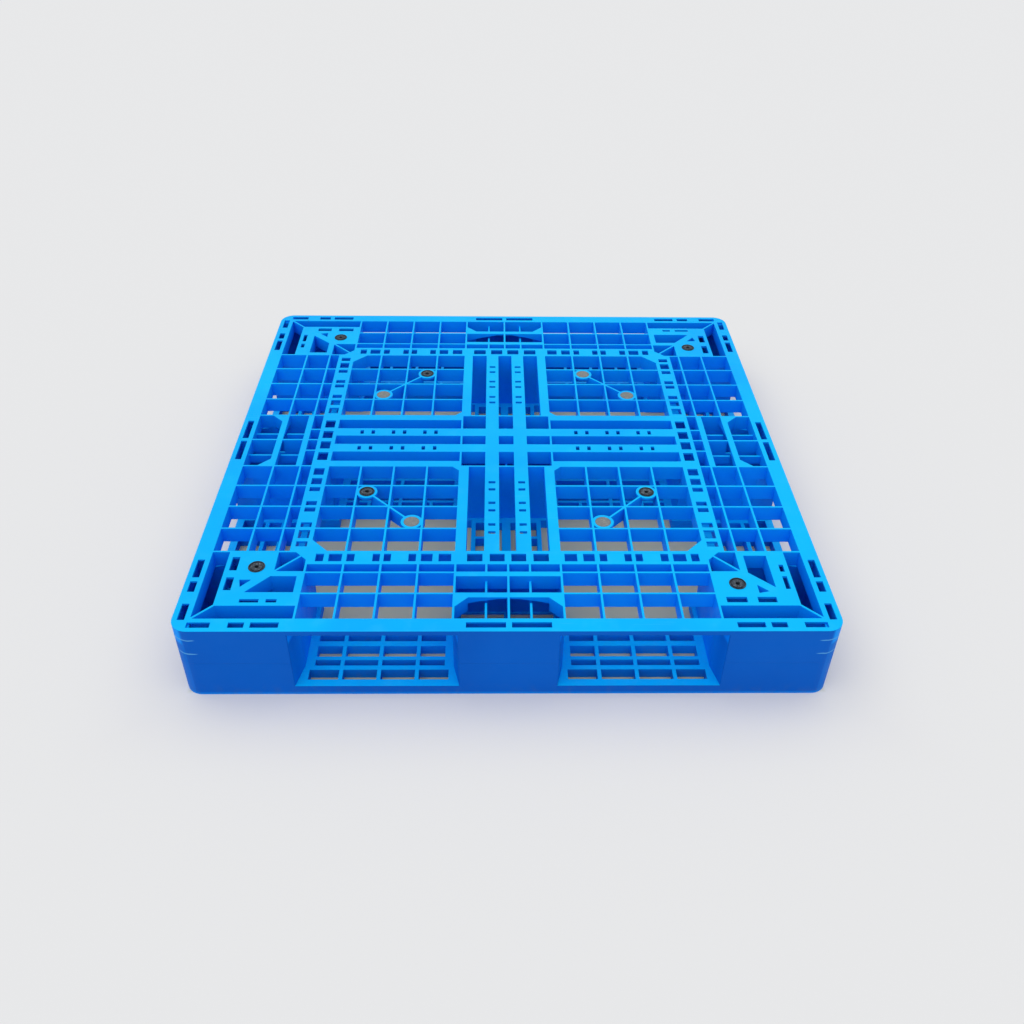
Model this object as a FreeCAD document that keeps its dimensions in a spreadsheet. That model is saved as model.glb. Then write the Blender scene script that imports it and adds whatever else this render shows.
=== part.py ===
# Four-way plastic pallet: two mouldings welded at mid leg, and rubber anti-slip grommets.
# Frame: X to the right, Y to the rear, Z up, origin on the floor under the middle of the pallet.
# The plan repeats every quarter turn, so each moulding is cut as its front left quarter, and four
# turned quarters are fused. Forms along a side are drawn for the front side.
import FreeCAD, Part
import os
import Sketcher

os.makedirs("parts", exist_ok=True)
doc = FreeCAD.newDocument("plastic_pallet")
sheet = doc.addObject("Spreadsheet::Sheet", "sizes")

# Driving dimensions in millimetres. Distances without another start are from the middle.
DIMENSIONS = [
    ("pallet_side", 1100, "side of the square pallet"),
    ("pallet_height", 150, "top face above the floor"),
    ("corner_radius", 30, "outer vertical corners"),
    ("weld_height", 75, "weld line round the legs above the floor"),
    ("deck_depth", 30, "depth of the top deck with its ribs"),
    ("base_depth", 20, "depth of the bottom deck"),
    ("deck_skin", 4, "skin over the hollow bars"),
    ("seat_skin", 5, "skin that a grommet clips into"),
    ("rib_width", 4, "deck ribs and walls"),
    ("leg_wall", 4, "outer walls of the legs and rim"),
    ("rim_width", 30, "flat rim round the deck"),
    ("first_rib", 92, "first rib line"),
    ("rib_pitch", 65, "from one rib line to the next"),
    ("band_width", 32, "flat band between the windows and the side fields, wall to wall"),
    ("outer_rib", 460, "outer long rib of a side field"),
    ("inner_rib", 407, "inner long rib of a side field"),
    ("middle_bar", 12, "thick bars over the middle leg of a side"),
    ("low_rib_place", 38, "sunken ribs over the middle leg"),
    ("low_rib_drop", 12, "how far those ribs lie below the top face"),
    ("grip_gusset", 22, "corner gussets of the outer cells over the middle leg"),
    ("grip_rise", 16, "rise of the arch under the bar behind those cells"),
    ("mouth_rim", 9, "depth of the rim over a fork opening"),
    ("mouth_flare", 11, "sideways flare of a fork opening at its mouth"),
    ("mouth_length", 45, "length of that flare"),
    ("hollow_corner", 18, "corner cut of the hollow inside the rounded corner"),
    ("corner_plate", 490, "outer edge of the corner plate"),
    ("plate_cell", 404, "outer edge of the open cell inside the corner plate"),
    ("plate_rib_far", 57, "long rib under the corner plate, from that cell"),
    ("plate_rib_near", 11, "short rib under the corner plate, from that cell"),
    ("pocket_inset", 11, "tapered pocket of the corner plate, from the band line"),
    ("pocket_depth", 40, "that pocket, from the short rib towards the side"),
    ("pocket_short", 45, "short side of that pocket"),
    ("pocket_long", 82, "long side of that pocket"),
    ("hole_near", 31, "near corner of the small three-sided hole, from the plate's edge"),
    ("hole_far", 51, "its far corner"),
    ("hole_tip", 35, "its tip"),
    ("hole_start", 9, "its long side from the short rib"),
    ("hole_end", 27, "its tip from the short rib"),
    ("band_chamfer", 20, "chamfer of the band's corner in that cell"),
    ("window_chamfer", 30, "outer corner of a window"),
    ("window_nick", 13, "inner corner of a window"),
    ("arm_slot", 15, "half width of the middle slot of a cross arm"),
    ("arm_bar", 27.5, "bars each side of that slot"),
    ("side_slot", 32, "outer slots of a cross arm"),
    ("rim_slot", 12, "width of the rim slots"),
    ("band_slot", 20, "width of the band slots"),
    ("boss_inset", 19.5, "grommet boss centres from their two rib lines"),
    ("boss_radius", 20, "outside of a grommet boss"),
    ("hole_radius", 14.5, "hole that a grommet clips into"),
    ("corner_grommet_far", 436, "corner grommet from the middle, long way"),
    ("corner_grommet_near", 393, "corner grommet from the middle, short way"),
    ("grommet_proud", 1.2, "grommet face above the deck"),
    ("grommet_stem", 8, "length of a grommet below the deck face"),
    ("runner_width", 150, "bottom deck runner from the outer edge"),
    ("runner_rib", 7, "cross ribs of the bottom deck"),
    ("cross_runner", 71, "half width of the bottom cross runners"),
    ("foot_flange", 16, "bottom deck left beside a leg in the runners"),
    ("foot_lip", 8, "bottom deck left beside a leg in the large windows"),
    ("foot_floor", 4, "floor of the legs"),
    ("foot_cell", 52, "open cell in the floor of a side leg"),
    ("over", 1, "how far a cutting shape passes the face it cuts"),
]

# Slots over the rim, front side: the line each is measured from, its start and its end from that line.
RIM_SLOTS = [("half_rib", 3, 68), ("corner", 20, 66), ("corner", 76, 102), ("corner", 131, 169)]

# Slots over the band: the rib line each is measured from, its start and its end from that line.
MIDDLE_BAND_SLOT = (6, 32)
BAND_SLOTS = [
    (0, -47, -20), (0, 8, 30), (1, -24, -4), (1, 5, 18), (2, -16, -3.5),
    (2, 3.5, 16), (3, -17, -3.5), (3, 5, 28), (3, 37, 51),
]

# Slots of the corner plate: start and end from the corner of the band, on its left and its front edge.
PLATE_SLOTS_LEFT = [(13, 48), (66, 98)]
PLATE_SLOTS_FRONT = [(33, 51), (63, 95)]
PLATE_SLOT_INSET = 8
PLATE_SLOT_WIDE = 21
PLATE_SLOT_NARROW = 16

# Small slots in the bars of the cross arms, each side of every rib line but the first.
PIN_SLOT_START = 8
PIN_SLOT_END = 15
PIN_SLOT_HALF_WIDTH = 6.5

# Rows of cells in the bottom deck: start and end from the outer edge, and from the edge of a cross runner.
RUNNER_ROWS = [(15, 37), (47, 60), (68, 93), (105, 122)]
CROSS_ROW_OUTER = (9, 29)
CROSS_ROW_INNER = (36, 62)

# Half the arch behind the grip cells: shares of its half span, and of its rise below the crown.
ARCH_OUTLINE = [(1, 1), (0.6, 0.4), (0.2, 0)]

DIAGONAL = 2 ** 0.5
for row, (word, length, note) in enumerate(DIMENSIONS, start=1):
    sheet.set("A%d" % row, word)
    sheet.set("B%d" % row, str(length))
    sheet.set("C%d" % row, note)
    sheet.setAlias("B%d" % row, word)
doc.recompute()


class Size:
    """A length that carries its formula in the sheet."""

    def __init__(self, value, formula):
        self.value = value
        self.formula = formula

    def __add__(self, other):
        other = as_size(other)
        return Size(self.value + other.value, "(%s + %s)" % (self.formula, other.formula))

    def __sub__(self, other):
        other = as_size(other)
        return Size(self.value - other.value, "(%s - %s)" % (self.formula, other.formula))

    def __mul__(self, factor):
        return Size(self.value * factor, "(%s * %s)" % (self.formula, factor))

    def __truediv__(self, factor):
        return Size(self.value / factor, "(%s / %s)" % (self.formula, factor))

    def __neg__(self):
        return Size(-self.value, "(0 - %s)" % self.formula)


def as_size(length):
    """A Size from a Size or a plain number."""
    if isinstance(length, Size):
        return length
    return Size(length, str(length))


def get(word):
    """The Size of one cell of the sheet."""
    return Size(float(sheet.get(word)), "sizes." + word)


edge = get("pallet_side") / 2
top = get("pallet_height")
rib = get("rib_width")
half_rib = rib / 2
wall = get("leg_wall")
over = get("over")
rim = edge - get("rim_width")
under_deck = top - get("deck_depth")
base_top = get("base_depth")
weld = get("weld_height")
outer_rib = get("outer_rib")
inner_rib = get("inner_rib")
plate = get("corner_plate")
plate_cell = get("plate_cell")
flare = get("mouth_flare")
mouth = edge - get("mouth_length")
middle = Size(0, "0")
ground = Size(0, "0")


def line(count):
    """Rib line by number: 0 is the first from the middle, 4 the inner edge of the band."""
    return get("first_rib") + get("rib_pitch") * count


band = line(4)
band_edge = band + get("band_width")
seat = get("seat_skin")
skin_bottom = top - get("deck_skin")
seat_bottom = top - seat


def box(name, x, y, z):
    """A block between two lengths along each axis, tied to the sheet."""
    block = doc.addObject("Part::Box", name)
    for side, place, (low, high) in zip(("Length", "Width", "Height"), "xyz", (x, y, z)):
        low, high = as_size(low), as_size(high)
        block.setExpression(side, (high - low).formula)
        block.setExpression("Placement.Base." + place, low.formula)
    return block


def cylinder(name, centre, radius, z):
    """An upright cylinder tied to the sheet."""
    low, high = z
    drum = doc.addObject("Part::Cylinder", name)
    drum.setExpression("Radius", radius.formula)
    drum.setExpression("Height", (high - low).formula)
    for place, length in zip("xyz", (centre[0], centre[1], low)):
        drum.setExpression("Placement.Base." + place, length.formula)
    return drum


def tie_outline(sketch, points):
    """Draw a closed outline of straight edges and tie each corner to the sheet."""
    corners = [(as_size(x), as_size(y)) for x, y in points]
    vectors = [FreeCAD.Vector(x.value, y.value, 0) for x, y in corners]
    count = len(corners)
    for index in range(count):
        sketch.addGeometry(Part.LineSegment(vectors[index], vectors[(index + 1) % count]), False)
    for index in range(count):
        sketch.addConstraint(Sketcher.Constraint("Coincident", index, 2, (index + 1) % count, 1))
    for index, corner in enumerate(corners):
        for kind, length in zip(("DistanceX", "DistanceY"), corner):
            tie = sketch.addConstraint(Sketcher.Constraint(kind, -1, 1, index, 1, length.value))
            sketch.setExpression("Constraints[%d]" % tie, length.formula)


def prism(name, points, z):
    """An upright prism over an outline, tied to the sheet."""
    low, high = z
    sketch = doc.addObject("Sketcher::SketchObject", name + "_outline")
    tie_outline(sketch, points)
    sketch.setExpression("Placement.Base.z", low.formula)
    body = doc.addObject("Part::Extrusion", name)
    body.Base = sketch
    body.DirMode = "Custom"
    body.Dir = FreeCAD.Vector(0, 0, 1)
    body.Solid = True
    body.setExpression("LengthFwd", (high - low).formula)
    return body


def group(name, pieces):
    """Several solids as one compound."""
    compound = doc.addObject("Part::Compound", name)
    compound.Links = pieces
    return compound


def turned(piece, turns):
    """A piece and its copies turned round the middle of the pallet by quarter turns."""
    copies = [piece]
    for turn in turns:
        link = doc.addObject("App::Link", "%s_turn_%d" % (piece.Name, turn))
        link.LinkedObject = piece
        link.Placement.Rotation = FreeCAD.Rotation(FreeCAD.Vector(0, 0, 1), 90 * turn)
        copies.append(link)
    return copies


def front_and_left(name, pieces):
    """Forms of the front side, with their copy on the left side: both sides of a quarter."""
    return turned(group(name, pieces), (3,))


def cut(name, base, tool):
    """The base less the tool."""
    result = doc.addObject("Part::Cut", name)
    result.Base = base
    result.Tool = tool
    return result


def mirrored(name, x, y, z):
    """A block on each side of the plane X = 0."""
    low, high = x
    return [box(name + "_right", (low, high), y, z), box(name + "_left", (-high, -low), y, z)]


def quarter_block(name, z):
    """The front left quarter of a moulding's outer block, round at its vertical corner."""
    low, high = z
    body = doc.addObject("PartDesign::Body", name)
    sketch = body.newObject("Sketcher::SketchObject", name + "_square")
    plane = [item for item in body.Origin.OriginFeatures if item.Role == "XY_Plane"][0]
    sketch.AttachmentSupport = [(plane, "")]
    sketch.MapMode = "FlatFace"
    tie_outline(sketch, [(-edge, -edge), (middle, -edge), (middle, middle), (-edge, middle)])
    pad = body.newObject("PartDesign::Pad", name + "_pad")
    pad.Profile = sketch
    pad.setExpression("Length", (high - low).formula)
    doc.recompute()
    upright = []
    for number, side in enumerate(pad.Shape.Edges, start=1):
        ends = [vertex.Point for vertex in side.Vertexes]
        at_corner = all(point.x < -edge.value / 2 and point.y < -edge.value / 2 for point in ends)
        if at_corner:
            upright.append("Edge%d" % number)
    fillet = body.newObject("PartDesign::Fillet", name + "_corners")
    fillet.Base = (pad, upright)
    fillet.setExpression("Radius", get("corner_radius").formula)
    body.Tip = fillet
    body.setExpression("Placement.Base.z", low.formula)
    return body


def four_quarters(name, quarter):
    """The whole moulding from its front left quarter."""
    whole = doc.addObject("Part::MultiFuse", name)
    whole.Shapes = turned(quarter, (1, 2, 3))
    whole.Refine = True
    return whole


def fork_space(name, z):
    """The fork channels between the legs, flared at their mouths."""
    near, far = line(0) + half_rib, band - half_rib
    out = edge + over
    points = [
        (-near + flare, -out), (-far - flare, -out), (-far, -mouth), (-far, over), (-near, over), (-near, -mouth),
    ]
    lengthwise = prism(name + "_lengthwise", points, z)
    crosswise = prism(name + "_crosswise", [(y, x) for x, y in points], z)
    space = doc.addObject("Part::MultiFuse", name)
    space.Shapes = [lengthwise, crosswise]
    return space


def leg_cavities(name, z):
    """The hollows of a quarter's legs: the corner leg, half of each side leg and a quarter of the centre."""
    pieces = []
    sides = []
    inside = line(0) - half_rib
    for side in (1, -1):
        points = [
            (half_rib * side, -(edge - wall)), ((inside - flare) * side, -(edge - wall)),
            (inside * side, -mouth), (inside * side, -(band + half_rib)),
            (half_rib * side, -(band + half_rib)),
        ]
        sides.append(prism("%s_side_leg_%s" % (name, "right" if side > 0 else "left"), points, z))
    skin_line = edge - wall
    cut_corner = skin_line - get("hollow_corner")
    end = band + half_rib
    moat = [
        (-skin_line, -(end + flare)), (-skin_line, -cut_corner), (-cut_corner, -skin_line),
        (-(end + flare), -skin_line), (-end, -mouth), (-end, -plate),
        (-plate, -plate), (-plate, -end), (-mouth, -end),
    ]
    pieces.append(prism(name + "_corner_ring", moat, z))
    core = plate - rib
    for row, y in enumerate(((-core, -plate_rib_y - half_rib), (-plate_rib_y + half_rib, -end))):
        for column, x in enumerate(((-core, -plate_rib_x - half_rib), (-plate_rib_x + half_rib, -end))):
            pieces.append(box("%s_core_%d%d" % (name, row, column), x, y, z))
    pieces.append(box(name + "_centre", (-inside, -half_rib), (-inside, -half_rib), z))
    return group(name + "_all", pieces + front_and_left(name + "_sides", sides))


# Corner plate, front left: its ribs and its grommet, as distances towards the corner.
plate_rib_x = plate_cell + get("plate_rib_far")
plate_rib_y = plate_cell + get("plate_rib_near")
grommet_x = get("corner_grommet_far")
grommet_y = get("corner_grommet_near")


def field_cells(z):
    """Open cells of the front side field, with the cells over the middle leg."""
    rows = [
        (-rim, -(outer_rib + half_rib)),
        (-(outer_rib - half_rib), -(inner_rib + half_rib)),
        (-(inner_rib - half_rib), -(band_edge + half_rib)),
    ]
    pieces = []
    for row, y in enumerate(rows):
        for column in range(4):
            x = (line(column) + half_rib, line(column + 1) - half_rib)
            pieces += mirrored("field_%d%d" % (row, column), x, y, z)
    bar = get("middle_bar")
    low_rib = get("low_rib_place")
    end = line(0) - half_rib
    gusset = get("grip_gusset")
    grip_back = outer_rib - half_rib + bar
    middle_rows = [
        (-(outer_rib - half_rib), -(inner_rib - half_rib + bar)),
        (-(inner_rib - half_rib), -(band_edge + half_rib)),
    ]
    for row, y in enumerate(middle_rows):
        pieces += mirrored("middle_%d_near" % row, (half_rib, low_rib - half_rib), y, z)
        pieces += mirrored("middle_%d_far" % row, (low_rib + half_rib, end), y, z)
    pieces += mirrored("grip_near", (half_rib, low_rib - half_rib), (-rim, -grip_back), z)
    for side in (1, -1):
        points = [
            ((low_rib + half_rib) * side, -rim), (end * side, -rim), (end * side, -(grip_back + gusset)),
            ((end - gusset) * side, -grip_back), ((low_rib + half_rib) * side, -grip_back),
        ]
        pieces.append(prism("grip_far_%s" % ("right" if side > 0 else "left"), points, z))
    return pieces


def low_rib_tops():
    """Blocks that sink the tops of the two low ribs over the middle leg."""
    low_rib = get("low_rib_place")
    z = (top - get("low_rib_drop"), top + over)
    grip_back = outer_rib - half_rib + get("middle_bar")
    second_back = inner_rib - half_rib + get("middle_bar")
    x = (low_rib - half_rib, low_rib + half_rib)
    return (mirrored("low_rib_grip", x, (-rim, -grip_back), z)
            + mirrored("low_rib_second", x, (-(outer_rib - half_rib), -second_back), z))


def grip_arch():
    """Arched hollow under the bar behind the grip cells."""
    bar = get("middle_bar")
    rise = get("grip_rise")
    half_span = line(0) - half_rib
    y = (-(outer_rib - half_rib + bar) - over, -(outer_rib - half_rib) + over)
    crown = skin_bottom
    right = [(half_span * span, crown - rise * drop) for span, drop in ARCH_OUTLINE]
    left = [(-x, height) for x, height in reversed(right)]
    points = [(-half_span, under_deck - over), (half_span, under_deck - over)] + right + left
    sketch = doc.addObject("Sketcher::SketchObject", "grip_arch_outline")
    tie_outline(sketch, points)
    sketch.Placement.Rotation = FreeCAD.Rotation(FreeCAD.Vector(1, 0, 0), 90)
    sketch.setExpression("Placement.Base.y", y[1].formula)
    arch = doc.addObject("Part::Extrusion", "grip_arch")
    arch.Base = sketch
    arch.DirMode = "Custom"
    arch.Dir = FreeCAD.Vector(0, -1, 0)
    arch.Solid = True
    arch.setExpression("LengthFwd", (y[1] - y[0]).formula)
    return arch


def window_cells(z):
    """Sixteen open cells of the front left window, less its outer and inner corners."""
    spans = [(-(line(count + 1) - half_rib), -(line(count) + half_rib)) for count in range(4)]
    outer = band - half_rib
    inner = line(0) + half_rib
    chamfer = get("window_chamfer")
    nick = get("window_nick")
    pieces = []
    for row, y in enumerate(spans):
        for column, x in enumerate(spans):
            name = "window_%d%d" % (row, column)
            if (row, column) == (3, 3):
                points = [(-outer, -outer + chamfer), (-outer + chamfer, -outer), (x[1], y[0]), (x[1], y[1]),
                          (x[0], y[1])]
                pieces.append(prism(name, points, z))
            elif (row, column) == (0, 0):
                points = [(x[0], y[0]), (x[1], y[0]), (x[1], -inner - nick), (-inner - nick, y[1]),
                          (x[0], y[1])]
                pieces.append(prism(name, points, z))
            else:
                pieces.append(box(name, x, y, z))
    return pieces


def boss_centres():
    """The two grommet bosses of the front left window, each in the angle of two ribs."""
    far = -(line(3) - get("boss_inset"))
    near = -(line(1) + get("boss_inset"))
    return [(far, near), (near, far)]


def arm_cells(z):
    """Three long slots of the front cross arm and the pockets of the centre square."""
    slot = get("arm_slot")
    bar_end = slot + get("arm_bar")
    side_end = bar_end + get("side_slot")
    near, far = line(0) + half_rib, band - half_rib
    inside = line(0) - half_rib
    pieces = [box("arm_slot_middle", (-slot, slot), (-far, -near), z)]
    pieces += mirrored("arm_slot_side", (bar_end, side_end), (-far, -near), z)
    pieces.append(box("centre_edge", (-slot, slot), (-inside, -bar_end), z))
    return pieces


def corner_cells(z):
    """Openings of the front left corner: the moat, the plate pockets and the braced cell."""
    inside = line(0) - half_rib
    bar_end = get("arm_slot") + get("arm_bar")
    end = band + half_rib
    brace = half_rib * DIAGONAL
    moat_left = [(-rim, -end), (-plate, -end), (-plate, -plate + brace), (-rim, -rim + brace)]
    moat_front = [(-end, -rim), (-end, -plate), (-plate + brace, -plate), (-rim + brace, -rim)]
    pocket_back = plate_rib_y + half_rib
    pocket_front = pocket_back + get("pocket_depth")
    pocket_right = band + get("pocket_inset")
    pocket = [(-pocket_right, -pocket_back), (-pocket_right - get("pocket_short"), -pocket_back),
              (-pocket_right - get("pocket_long"), -pocket_front), (-pocket_right, -pocket_front)]
    hole_back = pocket_back + get("hole_start")
    hole = [(-plate + get("hole_near"), -hole_back), (-plate + get("hole_far"), -hole_back),
            (-plate + get("hole_tip"), -pocket_back - get("hole_end"))]
    chamfer = get("band_chamfer")
    cell_left = [(-end, -end - chamfer), (-end, -plate_cell), (-plate_cell + brace, -plate_cell),
                 (-end - chamfer / 2 + brace / 2, -end - chamfer / 2 - brace / 2)]
    cell_right = [(-end - chamfer, -end), (-plate_cell, -end), (-plate_cell, -plate_cell + brace),
                  (-end - chamfer / 2 - brace / 2, -end - chamfer / 2 + brace / 2)]
    outlines = {"moat_left": moat_left, "moat_front": moat_front, "plate_pocket": pocket,
                "plate_hole": hole, "cell_left": cell_left, "cell_right": cell_right}
    pieces = [prism(name, points, z) for name, points in outlines.items()]
    return pieces + [box("centre_corner", (-inside, -bar_end), (-inside, -bar_end), z)]


def hollow_bars():
    """Pockets under the rim, the band and the arm bars."""
    z = (under_deck - over, skin_bottom)
    rim_y = (-(edge - wall), -(rim + rib))
    band_y = (-(band_edge - half_rib), -(band + half_rib))
    leg_end = line(0) - half_rib
    pieces = []
    pieces += mirrored("rim_hollow_leg", (half_rib, leg_end - flare), rim_y, z)
    pieces += mirrored("rim_hollow_fork", (line(0) + half_rib, band - half_rib), rim_y, z)
    pieces += mirrored("rim_hollow_corner", (band + half_rib + flare, rim), rim_y, z)
    pieces += mirrored("band_hollow_leg", (half_rib, leg_end), band_y, z)
    for count in (0, 2):
        x = (line(count) + half_rib, line(count + 2) - half_rib)
        pieces += mirrored("band_hollow_%d" % count, x, band_y, z)
    slot = get("arm_slot")
    bar_end = slot + get("arm_bar")
    side_end = bar_end + get("side_slot")
    arm_y = (-(band - half_rib), -(line(0) + half_rib))
    pieces += mirrored("bar_hollow", (slot + rib, bar_end - rib), arm_y, z)
    pieces += mirrored("outer_bar_hollow", (side_end + rib, leg_end), arm_y, z)
    return pieces


def plate_hollows():
    """Pockets under the corner plate."""
    pieces = []
    z = (under_deck - over, seat_bottom)
    core = plate - rib
    end = band + half_rib
    pocket_front = plate_rib_y + half_rib + get("pocket_depth")
    pieces.append(box("plate_hollow_left", (-core, -plate_rib_x - half_rib), (-core, -end - rib), z))
    pieces.append(box("plate_hollow_front", (-plate_rib_x + half_rib, -end - rib),
                      (-core, -pocket_front - rib), z))
    pieces.append(box("plate_hollow_grommet", (-plate_rib_x + half_rib, -plate_cell - rib),
                      (-plate_rib_y + half_rib, -end - rib), z))
    return pieces


def skin_slots():
    """Slots through the skin over the rim, the band and the arm bars."""
    z = (seat_bottom - over, top + over)
    pieces = []
    half_slot = get("rim_slot") / 2
    rim_middle = (rim + edge) / 2
    rim_y = (-(rim_middle + half_slot), -(rim_middle - half_slot))
    starts = {"half_rib": half_rib, "corner": band + half_rib}
    for number, (start, low, high) in enumerate(RIM_SLOTS):
        pieces += mirrored("rim_slot_%d" % number, (starts[start] + low, starts[start] + high), rim_y, z)
    half_slot = get("band_slot") / 2
    band_middle = band + get("band_width") / 2
    band_y = (-(band_middle + half_slot), -(band_middle - half_slot))
    pieces += mirrored("band_slot_middle", MIDDLE_BAND_SLOT, band_y, z)
    for number, (count, low, high) in enumerate(BAND_SLOTS):
        pieces += mirrored("band_slot_%d" % number, (line(count) + low, line(count) + high), band_y, z)
    bar_middle = get("arm_slot") + get("arm_bar") / 2
    pin_x = (bar_middle - PIN_SLOT_HALF_WIDTH, bar_middle + PIN_SLOT_HALF_WIDTH)
    for count in (1, 2, 3):
        for side in (1, -1):
            near, far = sorted((PIN_SLOT_START * side, PIN_SLOT_END * side))
            pin_y = (-(line(count) + far), -(line(count) + near))
            pieces += mirrored("pin_slot_%d_%s" % (count, "far" if side > 0 else "near"), pin_x, pin_y, z)
    return pieces


def plate_slots():
    """Slots of the corner plate, and the grommet holes."""
    z = (seat_bottom - over, top + over)
    end = band + half_rib
    pieces = []
    left_x = (-plate + PLATE_SLOT_INSET, -plate + PLATE_SLOT_WIDE)
    for number, (low, high) in enumerate(PLATE_SLOTS_LEFT):
        pieces.append(box("plate_slot_left_%d" % number, left_x, (-end - high, -end - low), z))
    front_y = (-plate + PLATE_SLOT_INSET, -plate + PLATE_SLOT_NARROW)
    for number, (low, high) in enumerate(PLATE_SLOTS_FRONT):
        pieces.append(box("plate_slot_front_%d" % number, (-end - high, -end - low), front_y, z))
    hole = get("hole_radius")
    pieces.append(cylinder("corner_hole", (-grommet_x, -grommet_y), hole, z))
    for number, centre in enumerate(boss_centres()):
        pieces.append(cylinder("boss_hole_%d" % number, centre, hole, z))
    return pieces


def window_bosses():
    """The flat bosses of the front left window, and the brace from each to the rib crossing between them."""
    crossing = -line(2)
    thick = half_rib * DIAGONAL
    reach = (get("boss_radius") - rib) / DIAGONAL
    pieces = []
    for number, centre in enumerate(boss_centres()):
        x, y = centre
        pieces.append(cylinder("boss_%d" % number, centre, get("boss_radius"), (seat_bottom, top)))
        side = 1 if number == 0 else -1
        start = (x + reach * side, y - reach * side)
        points = [(start[0] - thick, start[1]), (crossing - thick, crossing), (crossing, crossing + thick),
                  (start[0], start[1] + thick)]
        if side < 0:
            points = [(crossing, crossing - thick), (start[0], start[1] - thick), (start[0] + thick, start[1]),
                      (crossing + thick, crossing)]
        pieces.append(prism("brace_%d" % number, points, (under_deck, top)))
    return pieces


def mouth_cuts(z):
    """The front fork mouths carried up under the rim, on both sides of the middle."""
    near, far = line(0) + half_rib, band - half_rib
    back = rim + rib
    taper = flare * ((back - mouth).value / (edge + over - mouth).value)
    pieces = []
    for side in (1, -1):
        points = [
            ((near - flare) * side, -(edge + over)), ((far + flare) * side, -(edge + over)),
            ((far + taper) * side, -back), ((near - taper) * side, -back),
        ]
        pieces.append(prism("mouth_%s" % ("right" if side > 0 else "left"), points, z))
    return pieces


def upper_moulding():
    """Top deck with the upper half of the legs."""
    solid = quarter_block("upper_block", (weld, top))
    solid = cut("upper_forks", solid, fork_space("upper_fork_space", (weld - over, under_deck)))
    mouths = front_and_left("mouths", mouth_cuts((under_deck - over, top - get("mouth_rim"))))
    solid = cut("upper_mouths", solid, group("mouths_all", mouths))
    z = (under_deck - over, top + over)
    slot = get("arm_slot")
    cells = window_cells(z) + corner_cells(z) + [box("centre_cell", (-slot, slot), (-slot, slot), z)]
    cells += front_and_left("side_cells", field_cells(z) + arm_cells(z))
    solid = cut("upper_cells", solid, group("cells_all", cells))
    braced = doc.addObject("Part::MultiFuse", "upper_braced")
    braced.Shapes = [solid] + window_bosses()
    solid = cut("upper_legs", braced, leg_cavities("upper_hollow", (weld - over, under_deck)))
    hollows = plate_hollows() + front_and_left("side_hollows", hollow_bars() + low_rib_tops())
    solid = cut("upper_hollows", solid, group("hollows_all", hollows))
    slots = plate_slots() + front_and_left("side_slots", skin_slots() + [grip_arch()])
    solid = cut("upper_quarter", solid, group("slots_all", slots))
    return four_quarters("upper_deck", solid)


def runner_cells(z):
    """Open cells of the bottom runner in the front fork mouths and of the front cross runner."""
    flange = get("foot_flange")
    half_cross = get("runner_rib") / 2
    near, far = line(0) + half_rib + flange, band - half_rib - flange
    starts = [near] + [line(count) + half_cross for count in (1, 2, 3)]
    ends = [line(count) - half_cross for count in (1, 2, 3)] + [far]
    pieces = []
    for row, (low, high) in enumerate(RUNNER_ROWS):
        spread = flare * (1 - low / get("mouth_length").value) if row == 0 else middle
        for column in range(4):
            start = starts[column] - spread if column == 0 else starts[column]
            end = ends[column] + spread if column == 3 else ends[column]
            pieces += mirrored("runner_%d%d" % (row, column), (start, end), (-edge + low, -edge + high), z)
    cross = get("cross_runner")
    outer_row = (cross - CROSS_ROW_OUTER[1], cross - CROSS_ROW_OUTER[0])
    inner_row = (cross - CROSS_ROW_INNER[1], cross - CROSS_ROW_INNER[0])
    for column in range(4):
        pieces += mirrored("cross_outer_%d" % column, outer_row, (-ends[column], -starts[column]), z)
    for column in (0, 2):
        pieces += mirrored("cross_inner_%d" % column, inner_row, (-ends[column + 1], -starts[column]), z)
    return pieces


def base_window(z):
    """The large opening of the front left quarter of the bottom deck, notched round its four legs."""
    near = get("cross_runner")
    far = edge - get("runner_width")
    inner_foot = line(0) + half_rib + get("foot_lip")
    outer_foot = band - half_rib - get("foot_lip")
    points = [
        (-inner_foot, -near), (-outer_foot, -near), (-outer_foot, -inner_foot), (-far, -inner_foot),
        (-far, -outer_foot), (-outer_foot, -outer_foot), (-outer_foot, -far), (-inner_foot, -far),
        (-inner_foot, -outer_foot), (-near, -outer_foot), (-near, -inner_foot), (-inner_foot, -inner_foot),
    ]
    return prism("base_window", points, z)


def side_foot_openings(z):
    """Open cells in the floor of the front middle leg."""
    leg_end = line(0) - half_rib
    back = band + half_rib + rib
    return mirrored("foot_cell", (half_rib + rib, leg_end - rib), (-back - get("foot_cell"), -back), z)


def centre_foot_opening(z):
    """The open cell of the centre leg's floor."""
    span = (-line(0) + half_rib + rib, -half_rib - rib)
    return box("centre_foot_cell", span, span, z)


def lower_moulding():
    """Bottom runner frame with the lower half of the legs."""
    solid = quarter_block("lower_block", (ground, weld))
    solid = cut("lower_forks", solid, fork_space("lower_fork_space", (base_top, weld + over)))
    low = ground - over
    z = (low, base_top + over)
    openings = [base_window(z)] + front_and_left("runners", runner_cells(z))
    solid = cut("lower_runners", solid, group("runners_all", openings))
    floor = ground + get("foot_floor")
    solid = cut("lower_legs", solid, leg_cavities("lower_hollow", (floor, weld + over)))
    z = (low, floor + over)
    feet = [centre_foot_opening(z)] + front_and_left("feet", side_foot_openings(z))
    solid = cut("lower_quarter", solid, group("feet_all", feet))
    return four_quarters("lower_deck", solid)


def grommet(label, x, y):
    """Rubber grommet pressed into its hole, a little proud of the deck."""
    plug = cylinder(label, (x, y), get("hole_radius"), (top - get("grommet_stem"), top + get("grommet_proud")))
    plug.Label = label
    return plug


def quarter_point(x, y, turn):
    """A point of the front left quarter turned round the middle."""
    for _ in range(turn):
        x, y = -y, x
    return x, y


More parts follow.
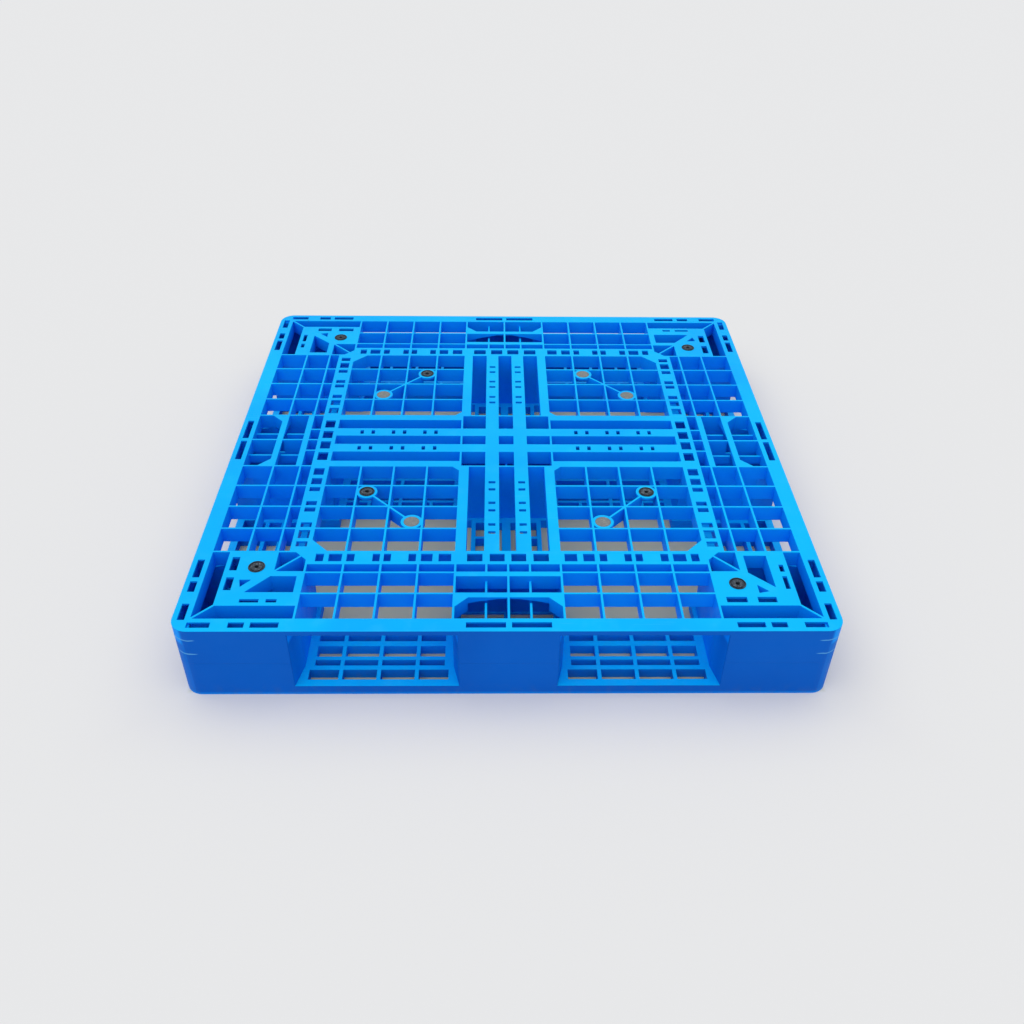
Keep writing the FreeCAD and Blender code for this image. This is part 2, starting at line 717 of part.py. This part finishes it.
CORNERS = ("front_left", "front_right", "rear_right", "rear_left")
nodes = [upper_moulding(), lower_moulding()]
for turn, corner in enumerate(CORNERS):
    nodes.append(grommet("corner_grommet_" + corner, *quarter_point(-grommet_x, -grommet_y, turn)))
far_x, near_y = boss_centres()[0]
nodes.append(grommet("deck_grommet_front_left", far_x, near_y))
nodes.append(grommet("deck_grommet_front_right", -far_x, near_y))
nodes.append(grommet("deck_grommet_rear_left", near_y, -far_x))

doc.recompute()
for item in doc.Objects:
    if "Invalid" in item.State or "Error" in item.State:
        raise RuntimeError("failed: " + item.Name)
for node in nodes:
    if node.Shape.isNull() or not node.Shape.isValid():
        raise RuntimeError("bad shape: " + node.Name)
    print(node.Label, len(node.Shape.Solids), round(node.Shape.Volume / 1e6, 3), "litres",
          len(node.Shape.Faces), "faces")
    node.Shape.exportStep(os.path.join("parts", node.Label + ".step"))
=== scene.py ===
# Looks of the plastic pallet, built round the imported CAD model. Lengths are in metres.
import math

import bmesh
import bpy
from mathutils import Matrix, Vector


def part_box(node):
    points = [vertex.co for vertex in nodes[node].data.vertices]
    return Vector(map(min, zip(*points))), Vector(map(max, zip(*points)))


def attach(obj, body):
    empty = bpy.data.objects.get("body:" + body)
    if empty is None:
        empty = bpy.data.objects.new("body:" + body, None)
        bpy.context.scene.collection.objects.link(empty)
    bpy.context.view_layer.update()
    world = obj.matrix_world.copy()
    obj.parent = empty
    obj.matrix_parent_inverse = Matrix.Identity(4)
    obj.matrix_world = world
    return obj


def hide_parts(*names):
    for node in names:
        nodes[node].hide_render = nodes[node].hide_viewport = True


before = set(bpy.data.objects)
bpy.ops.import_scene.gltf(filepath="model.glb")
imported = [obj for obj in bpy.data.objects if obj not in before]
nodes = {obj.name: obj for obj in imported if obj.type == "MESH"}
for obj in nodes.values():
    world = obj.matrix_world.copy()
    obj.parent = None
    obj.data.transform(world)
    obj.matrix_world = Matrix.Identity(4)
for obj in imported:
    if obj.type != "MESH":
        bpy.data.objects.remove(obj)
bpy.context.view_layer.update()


_, deck_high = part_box("upper_deck")
DECK_TOP = deck_high.z

# Camera of the photograph, measured from the pallet's own corners.
IMAGE_SIZE = 1024
SENSOR = 36
FOCAL_PIXELS = 976
PITCH = math.radians(38.30)
YAW = math.radians(1.33)
ROLL = math.radians(0.90)
DECK_CENTRE_FROM_CAMERA = Vector((-0.012, -0.148, 2.008))
FARTHEST = 200


def photo_camera():
    """The camera that took the photograph: x right, y down and z away from it in its own axes."""
    level = Matrix(((1, 0, 0), (0, 0, -1), (0, 1, 0)))
    turn = Matrix.Rotation(YAW, 3, "Z")
    tilt = Matrix.Rotation(PITCH, 3, "X")
    lean = Matrix.Rotation(ROLL, 3, "Z")
    to_camera = lean @ tilt @ level @ turn
    place = -(to_camera.transposed() @ DECK_CENTRE_FROM_CAMERA) + Vector((0, 0, DECK_TOP))
    turned = to_camera.transposed() @ Matrix.Diagonal((1, -1, -1))
    data = bpy.data.cameras.new("photo_camera")
    data.sensor_width = SENSOR
    data.lens = FOCAL_PIXELS / IMAGE_SIZE * SENSOR
    data.clip_end = FARTHEST
    camera = bpy.data.objects.new("photo_camera", data)
    camera.matrix_world = Matrix.Translation(place) @ turned.to_4x4()
    bpy.context.scene.collection.objects.link(camera)
    bpy.context.scene.camera = camera


def linear(red, green, blue):
    """A linear colour from screen values of 0 to 255."""
    def channel(value):
        share = value / 255
        return share / 12.92 if share <= 0.04045 else ((share + 0.055) / 1.055) ** 2.4
    return (channel(red), channel(green), channel(blue), 1)


class Graph:
    """Short calls that add and join the nodes of one material."""

    def __init__(self, name):
        self.material = bpy.data.materials.new(name)
        self.material.use_nodes = True
        self.tree = self.material.node_tree
        self.tree.nodes.clear()
        self.output = self.tree.nodes.new("ShaderNodeOutputMaterial")
        self.place = self.node("ShaderNodeTexCoord").outputs["Object"]
        self.across, self.deep, self.height = self.node("ShaderNodeSeparateXYZ", {0: self.place}).outputs

    def node(self, kind, inputs=None, **settings):
        """A node with its settings and its inputs: values, or sockets to join."""
        node = self.tree.nodes.new(kind)
        for word, value in settings.items():
            setattr(node, word, value)
        for key, value in (inputs or {}).items():
            self.put(node.inputs[key], value)
        return node

    def put(self, socket, value):
        """Join a socket to an input, or set its value."""
        if isinstance(value, bpy.types.NodeSocket):
            self.tree.links.new(value, socket)
        else:
            socket.default_value = value

    def math(self, operation, first, second=0.0, clamp=False):
        """The result of one operation on two numbers."""
        node = self.node("ShaderNodeMath", {0: first, 1: second}, operation=operation, use_clamp=clamp)
        return node.outputs[0]

    def ramp(self, value, low, high, to_low=0.0, to_high=1.0):
        """A value carried smoothly from one range to another."""
        node = self.node("ShaderNodeMapRange", {"Value": value, "From Min": low, "From Max": high,
                                                "To Min": to_low, "To Max": to_high},
                         interpolation_type="SMOOTHSTEP")
        return node.outputs["Result"]

    def mix(self, share, first, second):
        """A colour between two colours."""
        node = self.node("ShaderNodeMix", {"Factor": share}, data_type="RGBA")
        self.put(node.inputs[6], first)
        self.put(node.inputs[7], second)
        return node.outputs[2]

    def product(self, *values):
        """Two or more values multiplied."""
        result = values[0]
        for value in values[1:]:
            result = self.math("MULTIPLY", result, value)
        return result

    def from_middle(self):
        """How far a point lies from the middle, measured square to the pallet's sides."""
        return self.math("MAXIMUM", self.math("ABSOLUTE", self.across), self.math("ABSOLUTE", self.deep))

    def faces_up(self, low, high):
        """0 on upright and lower faces, 1 on faces that look up."""
        normal = self.node("ShaderNodeNewGeometry").outputs["True Normal"]
        return self.ramp(self.node("ShaderNodeSeparateXYZ", {0: normal}).outputs[2], low, high)

    def noise(self, scale, detail=3.0, roughness=0.55, place=None):
        """Noise of one scale per metre, from 0 to 1."""
        place = self.place if place is None else place
        node = self.node("ShaderNodeTexNoise", {"Vector": place, "Scale": scale, "Detail": detail,
                                                "Roughness": roughness})
        return node.outputs["Fac"]

    def stretched(self, scale, turn):
        """Coordinates stretched and turned about Z, for streaks and scratches."""
        node = self.node("ShaderNodeMapping", {"Vector": self.place, "Scale": scale,
                                               "Rotation": (0, 0, turn)})
        return node.outputs["Vector"]

    def finish(self, shader):
        """The material with its shader joined."""
        self.tree.links.new(shader, self.output.inputs["Surface"])
        return self.material


# Colours as they look on the screen. The top, inner wall and outer side blues are lit and shaded copies of
# one blue: painted light on faces that look up and on the inner walls, painted shade on the outer walls.
TOP_BLUE_LIT = linear(0, 172, 250)
TOP_BLUE_PALE_LIT = linear(0, 186, 255)
WALL_BLUE_LIGHTENED = linear(0, 140, 252)
WALL_BLUE_PALE_LIGHTENED = linear(0, 150, 255)
SIDE_BLUE_SHADED = linear(0, 90, 194)
SIDE_BLUE_PALE_SHADED = linear(0, 96, 202)
SCUFF_BLUE = linear(70, 200, 255)
NICK_BLUE = linear(96, 176, 226)
FLOOR_DIRT = linear(96, 100, 104)
RUBBER = linear(24, 38, 52)
RUBBER_DUST = linear(104, 118, 130)
PLUG_GREY = linear(112, 118, 120)
PLUG_DUST = linear(146, 146, 142)
FLOOR_PALE = linear(226, 226, 226)
FLOOR_SEEN = linear(231, 232, 234)
FLOOR_TAN_SHADED = linear(207, 205, 169)

# Plastic. A pair is where a change of colour starts and ends: inward from the outer walls, down from
# the top of the deck, up from the floor, or away from the line of a nick.
OUTER_WALL = deck_high.x
# Painted shade: the outer walls take the shaded side blue, and so, at a lower share, do the jambs of the
# fork mouths below the deck.
OUTER_SKIN = (0.004, 0.001)
JAMB_SHADE = (0.08, 0.01)
JAMB_SHADE_SHARE = 0.8
BELOW_DECK = (0.025, 0.035)
FOOT_LINE = (0.007, 0.002)
FOOT_LINE_SHARE = 0.55
NICK_REACH = (0.042, 0.034)
NICK_WAVE = 0.006
NICK_HEIGHTS = (0.132, 0.101)
NICK_WIDTH = (0.0016, 0.0006)
NICK_SHARE = 0.75
DIRT_HEIGHT = 0.03
DIRT_SHARE = 0.12
MOTTLE_SHARE = 0.12
SCRATCH_SHARE = 0.22
SCRATCH_ROUGHNESS = 0.2
SCRATCH_STRETCH = (6, 330, 60)
SCRATCH_TURNS = ((0.4, 0.0), (1.7, 2.0))
EDGE_ROUND = 0.0012
GRAIN_DEPTH = 0.0006
PLASTIC_SPECULAR = 0.06

# Floor: tan and darker inside the outer walls, partly a tan floor colour and partly painted shade, and
# lifted towards the backdrop's white from a little way off.
FLOOR_TAN_SHADE_EDGE = 0.015
FLOOR_LIFT = (0.03, 0.2)
FLOOR_LIFT_SHARE = 0.6


def scratches(graph, turn, seed):
    """Fine long scratches that run one way."""
    across, along, up = SCRATCH_STRETCH
    lines = graph.noise(1.0, 2.0, 0.4, graph.stretched((across + seed, along, up), turn))
    patches = graph.noise(5.0 + seed, 2.0)
    return graph.product(graph.ramp(lines, 0.66, 0.72), graph.ramp(patches, 0.5, 0.62))


def corner_nicks(graph):
    """Two short pale nicks across each front corner edge."""
    toward_corner = graph.math("SUBTRACT", graph.math("ABSOLUTE", graph.across), graph.deep)
    low, high = NICK_REACH
    on_corner = graph.ramp(toward_corner, 2 * OUTER_WALL - low, 2 * OUTER_WALL - high)
    level = graph.math("ADD", graph.height, graph.product(graph.noise(40.0, 2.0), NICK_WAVE))
    marks = 0.0
    for nick_height in NICK_HEIGHTS:
        away = graph.math("ABSOLUTE", graph.math("SUBTRACT", level, nick_height))
        marks = graph.math("MAXIMUM", marks, graph.ramp(away, *NICK_WIDTH))
    return graph.product(marks, on_corner, NICK_SHARE)


def outer_wall_shade(graph):
    """Painted shade mask: 1 on the flat outer walls, less on the rounded corners and on the jambs of the
    fork mouths.
    """
    from_middle = graph.from_middle()
    low, high = OUTER_SKIN
    skin = graph.ramp(from_middle, OUTER_WALL - low, OUTER_WALL - high)
    low, high = JAMB_SHADE
    jambs = graph.ramp(from_middle, OUTER_WALL - low, OUTER_WALL - high)
    low, high = BELOW_DECK
    below_deck = graph.ramp(graph.height, DECK_TOP - low, DECK_TOP - high)
    return graph.math("MAXIMUM", skin, graph.product(jambs, below_deck, JAMB_SHADE_SHARE))


def blue_plastic():
    """Moulded blue plastic: scuffed where it faces up and paler there from painted light as well as the
    scuffs, and deepest on the outer walls of the legs from painted shade.
    """
    graph = Graph("blue_plastic")
    faces_up = graph.faces_up(0.2, 0.8)
    shaded_outside = outer_wall_shade(graph)
    broad = graph.ramp(graph.noise(3.0), 0.35, 0.65)
    cloudy = graph.noise(26.0, 5.0, 0.6)
    # Painted light: the top blue is a lit copy of the plastic's blue.
    top = graph.mix(broad, TOP_BLUE_LIT, TOP_BLUE_PALE_LIT)
    # Painted light on the inner walls and painted shade on the outer walls: lightened and shaded copies of
    # one blue.
    inner = graph.mix(broad, WALL_BLUE_LIGHTENED, WALL_BLUE_PALE_LIGHTENED)
    outer = graph.mix(broad, SIDE_BLUE_SHADED, SIDE_BLUE_PALE_SHADED)
    walls = graph.mix(shaded_outside, inner, outer)
    foot_line = graph.product(graph.ramp(graph.height, *FOOT_LINE), FOOT_LINE_SHARE, shaded_outside)
    walls = graph.mix(foot_line, walls, WALL_BLUE_PALE_LIGHTENED)
    walls = graph.mix(corner_nicks(graph), walls, NICK_BLUE)
    # Painted light: faces that look up take the lit top blue.
    colour = graph.mix(faces_up, walls, top)
    worn = graph.math("ADD", *[scratches(graph, turn, seed) for turn, seed in SCRATCH_TURNS], True)
    mottled = graph.product(graph.ramp(cloudy, 0.48, 0.75), MOTTLE_SHARE)
    scuffed = graph.math("ADD", mottled, graph.product(worn, SCRATCH_SHARE))
    colour = graph.mix(graph.product(scuffed, faces_up), colour, SCUFF_BLUE)
    dirt = graph.product(graph.ramp(graph.noise(60.0, 4.0), 0.45, 0.7), DIRT_SHARE)
    colour = graph.mix(graph.product(graph.ramp(graph.height, DIRT_HEIGHT, 0.0), dirt), colour, FLOOR_DIRT)
    rounded = graph.node("ShaderNodeBevel", {"Radius": EDGE_ROUND}, samples=4).outputs["Normal"]
    grain = graph.node("ShaderNodeBump", {"Strength": 0.12, "Distance": GRAIN_DEPTH, "Normal": rounded,
                                          "Height": graph.noise(420.0)})
    satin = graph.ramp(cloudy, 0.3, 0.7, 0.42, 0.56)
    shader = graph.node("ShaderNodeBsdfPrincipled", {
        "Base Color": colour, "Roughness": graph.math("ADD", satin, graph.product(worn, SCRATCH_ROUGHNESS)),
        "Specular IOR Level": PLASTIC_SPECULAR, "Normal": grain.outputs["Normal"]})
    return graph.finish(shader.outputs[0])


def dusty_rubber(name, base, dust_colour):
    """Rubber with dust on its flat faces."""
    graph = Graph(name)
    speckle = graph.noise(320.0, 5.0, 0.65)
    patch = graph.ramp(graph.noise(90.0), 0.3, 0.7, 0.35, 1.0)
    dust = graph.product(graph.faces_up(0.4, 0.95), graph.ramp(speckle, 0.42, 0.66), patch)
    colour = graph.mix(dust, base, dust_colour)
    bump = graph.node("ShaderNodeBump", {"Strength": 0.3, "Distance": 0.0005, "Height": speckle})
    shader = graph.node("ShaderNodeBsdfPrincipled", {
        "Base Color": colour, "Roughness": graph.ramp(speckle, 0.3, 0.7, 0.62, 0.85),
        "Normal": bump.outputs["Normal"]})
    return graph.finish(shader.outputs[0])


def pale_floor():
    """Plain pale floor, tan and darker where the pallet stands on it, partly painted shade, and lifted to
    an even white farther off.
    """
    graph = Graph("pale_floor")
    from_middle = graph.from_middle()
    # Painted shade with a tan tint: the floor under the pallet is darker.
    under = graph.ramp(from_middle, OUTER_WALL, OUTER_WALL - FLOOR_TAN_SHADE_EDGE)
    colour = graph.mix(under, FLOOR_PALE, FLOOR_TAN_SHADED)
    lit = graph.node("ShaderNodeBsdfPrincipled", {"Base Color": colour, "Roughness": 0.9,
                                                  "Specular IOR Level": 0.0})
    backdrop = graph.node("ShaderNodeEmission", {"Color": FLOOR_SEEN, "Strength": 1.0})
    path = graph.node("ShaderNodeLightPath").outputs
    mirrored = graph.math("MAXIMUM", path["Is Glossy Ray"], path["Is Transmission Ray"])
    seen = graph.math("MAXIMUM", path["Is Camera Ray"], mirrored)
    low, high = FLOOR_LIFT
    around = graph.ramp(from_middle, OUTER_WALL + low, OUTER_WALL + high)
    share = graph.product(seen, around, FLOOR_LIFT_SHARE)
    shader = graph.node("ShaderNodeMixShader", {0: share, 1: lit.outputs[0], 2: backdrop.outputs[0]})
    return graph.finish(shader.outputs[0])


def dress(piece, material):
    """Give a piece one material."""
    piece.data.materials.clear()
    piece.data.materials.append(material)


# Grommets and plugs: steps of a turn, radii, depths, and the angle from which an edge stays sharp.
GROMMET_STEPS = 64
STEM_RADIUS = 0.0145
GROOVE_OUTSIDE = 0.0132
GROOVE_INSIDE = 0.0106
BORE_RADIUS = 0.0036
BORE_DEPTH_SHARE = 0.8
SMALL_EDGE = 0.0004
GROOVE_DEPTH = 0.0022
PLUG_RADIUS = STEM_RADIUS * 0.99
PLUG_DOME = ((0.5, 0.0001), (0.8, 0.0003), (0.93, 0.0007), (0.985, 0.0012), (1, 0.0018))
SHARP_FROM = math.radians(40)


def grommet_profile(depth):
    """Radius and height from the face: bore, pad, ring groove and rounded outer edge."""
    edge = SMALL_EDGE
    floor = -depth * BORE_DEPTH_SHARE
    return [
        (0.0, floor), (BORE_RADIUS * 0.9, floor), (BORE_RADIUS, -edge * 2), (BORE_RADIUS + edge * 2, 0.0),
        (GROOVE_INSIDE - edge * 2, 0.0), (GROOVE_INSIDE, -edge), (GROOVE_INSIDE + edge, -GROOVE_DEPTH),
        (GROOVE_OUTSIDE - edge, -GROOVE_DEPTH), (GROOVE_OUTSIDE, -edge), (GROOVE_OUTSIDE + edge, 0.0),
        (STEM_RADIUS - edge, 0.0), (STEM_RADIUS, -edge), (STEM_RADIUS, -depth), (0.0, -depth),
    ]


def plug_profile(depth):
    """Radius and height from the face of a plain plug: a low dome and the stem."""
    dome = [(PLUG_RADIUS * share, -drop) for share, drop in PLUG_DOME]
    return [(0.0, 0.0)] + dome + [(PLUG_RADIUS, -depth), (0.0, -depth)]


def turned_mesh(mesh, centre, face, profile):
    """Turn a profile round an upright axis into a mesh."""
    rings = []
    for radius, height in profile:
        z = face + height
        if radius == 0.0:
            rings.append([mesh.verts.new((centre.x, centre.y, z))])
            continue
        ring = []
        for step in range(GROMMET_STEPS):
            angle = 2 * math.pi * step / GROMMET_STEPS
            x = centre.x + radius * math.cos(angle)
            y = centre.y + radius * math.sin(angle)
            ring.append(mesh.verts.new((x, y, z)))
        rings.append(ring)
    for inner, outer in zip(rings, rings[1:]):
        for step in range(GROMMET_STEPS):
            after = (step + 1) % GROMMET_STEPS
            if len(inner) == 1:
                mesh.faces.new((inner[0], outer[step], outer[after]))
            elif len(outer) == 1:
                mesh.faces.new((inner[step], outer[0], inner[after]))
            else:
                mesh.faces.new((inner[step], outer[step], outer[after], inner[after]))


def round_piece(name, centre, face, profile, material):
    """A turned rubber piece that rides with the pallet."""
    mesh = bmesh.new()
    turned_mesh(mesh, centre, face, profile)
    bmesh.ops.recalc_face_normals(mesh, faces=mesh.faces)
    data = bpy.data.meshes.new(name)
    mesh.to_mesh(data)
    mesh.free()
    for polygon in data.polygons:
        polygon.use_smooth = True
    data.set_sharp_from_angle(angle=SHARP_FROM)
    piece = bpy.data.objects.new(name, data)
    bpy.context.scene.collection.objects.link(piece)
    dress(piece, material)
    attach(piece, "root")
    return piece


def grommet(node_name, material):
    """The moulded rubber grommet that stands for one CAD node."""
    low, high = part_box(node_name)
    profile = grommet_profile(high.z - low.z)
    piece = round_piece(node_name + "_rubber", (low + high) / 2, high.z, profile, material)
    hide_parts(node_name)


def grey_plugs(material):
    """Plain grey plugs in the five window bosses that hold no grommet."""
    low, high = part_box("deck_grommet_front_left")
    centre = (low + high) / 2
    far, near = abs(centre.x), abs(centre.y)
    places = {
        "front_left": (-near, -far), "front_right": (near, -far), "rear_left": (-far, near),
        "rear_right_inner": (near, far), "rear_right_outer": (far, near),
    }
    profile = plug_profile(high.z - low.z)
    for name, (x, y) in places.items():
        round_piece("deck_plug_" + name, Vector((x, y, 0)), high.z, profile, material)


# Floor size and light.
FLOOR_REACH = 30.0
SURROUND_STRENGTH = 0.8
SUN_FROM = (-0.3, -0.3, 1.2)
SUN_STRENGTH = 0.9
SUN_SPREAD = math.radians(80)


def soft_sun():
    """An even light from far away, softened over a wide angle."""
    data = bpy.data.lights.new("soft_overhead", "SUN")
    data.energy = SUN_STRENGTH
    data.angle = SUN_SPREAD
    lamp = bpy.data.objects.new("soft_overhead", data)
    lamp.rotation_euler = Vector(SUN_FROM).to_track_quat("Z", "Y").to_euler()
    bpy.context.scene.collection.objects.link(lamp)


def studio():
    """Pale floor, a pale surround and soft light from above."""
    data = bpy.data.meshes.new("floor")
    corners = [(-1, -1), (1, -1), (1, 1), (-1, 1)]
    data.from_pydata([(x * FLOOR_REACH, y * FLOOR_REACH, 0) for x, y in corners], [], [(0, 1, 2, 3)])
    floor = bpy.data.objects.new("floor", data)
    bpy.context.scene.collection.objects.link(floor)
    dress(floor, pale_floor())
    world = bpy.data.worlds.new("surround")
    bpy.context.scene.world = world
    world.use_nodes = True
    back = world.node_tree.nodes["Background"]
    back.inputs["Strength"].default_value = SURROUND_STRENGTH
    back.inputs["Color"].default_value = (1, 1, 1, 1)
    soft_sun()


blue = blue_plastic()
rubber = dusty_rubber("grommet_rubber", RUBBER, RUBBER_DUST)
grey_plugs(dusty_rubber("plug_rubber", PLUG_GREY, PLUG_DUST))
photo_camera()
studio()
for name, node in nodes.items():
    if "grommet" in name:
        grommet(name, rubber)
    else:
        dress(node, blue)

bpy.context.scene.view_settings.view_transform = "Standard"
